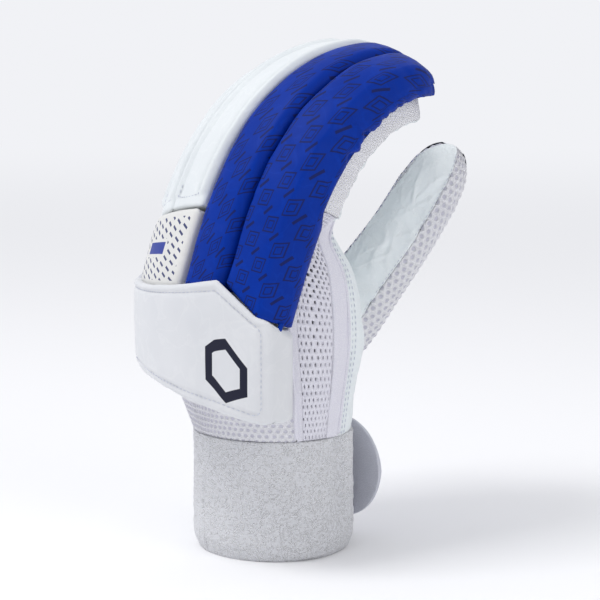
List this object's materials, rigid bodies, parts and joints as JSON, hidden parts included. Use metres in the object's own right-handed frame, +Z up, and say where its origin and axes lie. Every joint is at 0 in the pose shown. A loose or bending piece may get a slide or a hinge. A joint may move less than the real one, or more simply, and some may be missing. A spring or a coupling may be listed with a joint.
{
  "type": "cricket batting glove",
  "caption": "Padded right-hand batting glove with curled finger rolls, cuff pad, thumb shells and a knitted wristband.",
  "frame": {"origin": "on the floor under the middle of the whole glove, which stands on the rim of its wristband", "axes": "+Z up along the hand to the fingers, -Y out of the back of the hand, +Y the way the fingers curl, -X the thumb side, +X the little finger side"},
  "size_m": [0.127, 0.174, 0.227],
  "materials": {
    "terry_knit": "matte looped terry knit",
    "strap_fleece": "matte brushed fleece",
    "spacer_mesh": "open spacer mesh",
    "palm_leather": "soft white leather with fine grain",
    "white_pad": "smooth white coated leather over foam",
    "badge": "smooth pale leather with a plain printed pattern",
    "blue_roll": "semi-gloss royal blue coated leather over foam",
    "navy_shell": "semi-gloss navy coated leather over a hard shell"
  },
  "bodies": {
    "root": {"wristband": "terry_knit", "wrist_strap": "strap_fleece", "back_mesh": "spacer_mesh", "ulnar_gusset": "spacer_mesh", "palm_leather": "palm_leather", "radial_gusset": "spacer_mesh", "index_finger_leather": "palm_leather", "index_finger_mesh": "spacer_mesh", "middle_finger_leather": "palm_leather", "middle_finger_mesh": "spacer_mesh", "ring_finger_leather": "palm_leather", "ring_finger_mesh": "spacer_mesh", "little_finger_leather": "palm_leather", "little_finger_mesh": "spacer_mesh", "thumb_leather": "palm_leather", "thumb_mesh": "spacer_mesh", "thumb_tip_shell": "navy_shell", "thumb_base_shell": "blue_roll", "radial_side_roll": "blue_roll", "index_roll": "blue_roll", "middle_roll": "white_pad", "ring_roll": "white_pad", "little_roll": "blue_roll", "ulnar_side_roll": "blue_roll", "badge_pad": "badge", "cuff_pad": "white_pad"}
  },
  "joints": []
}
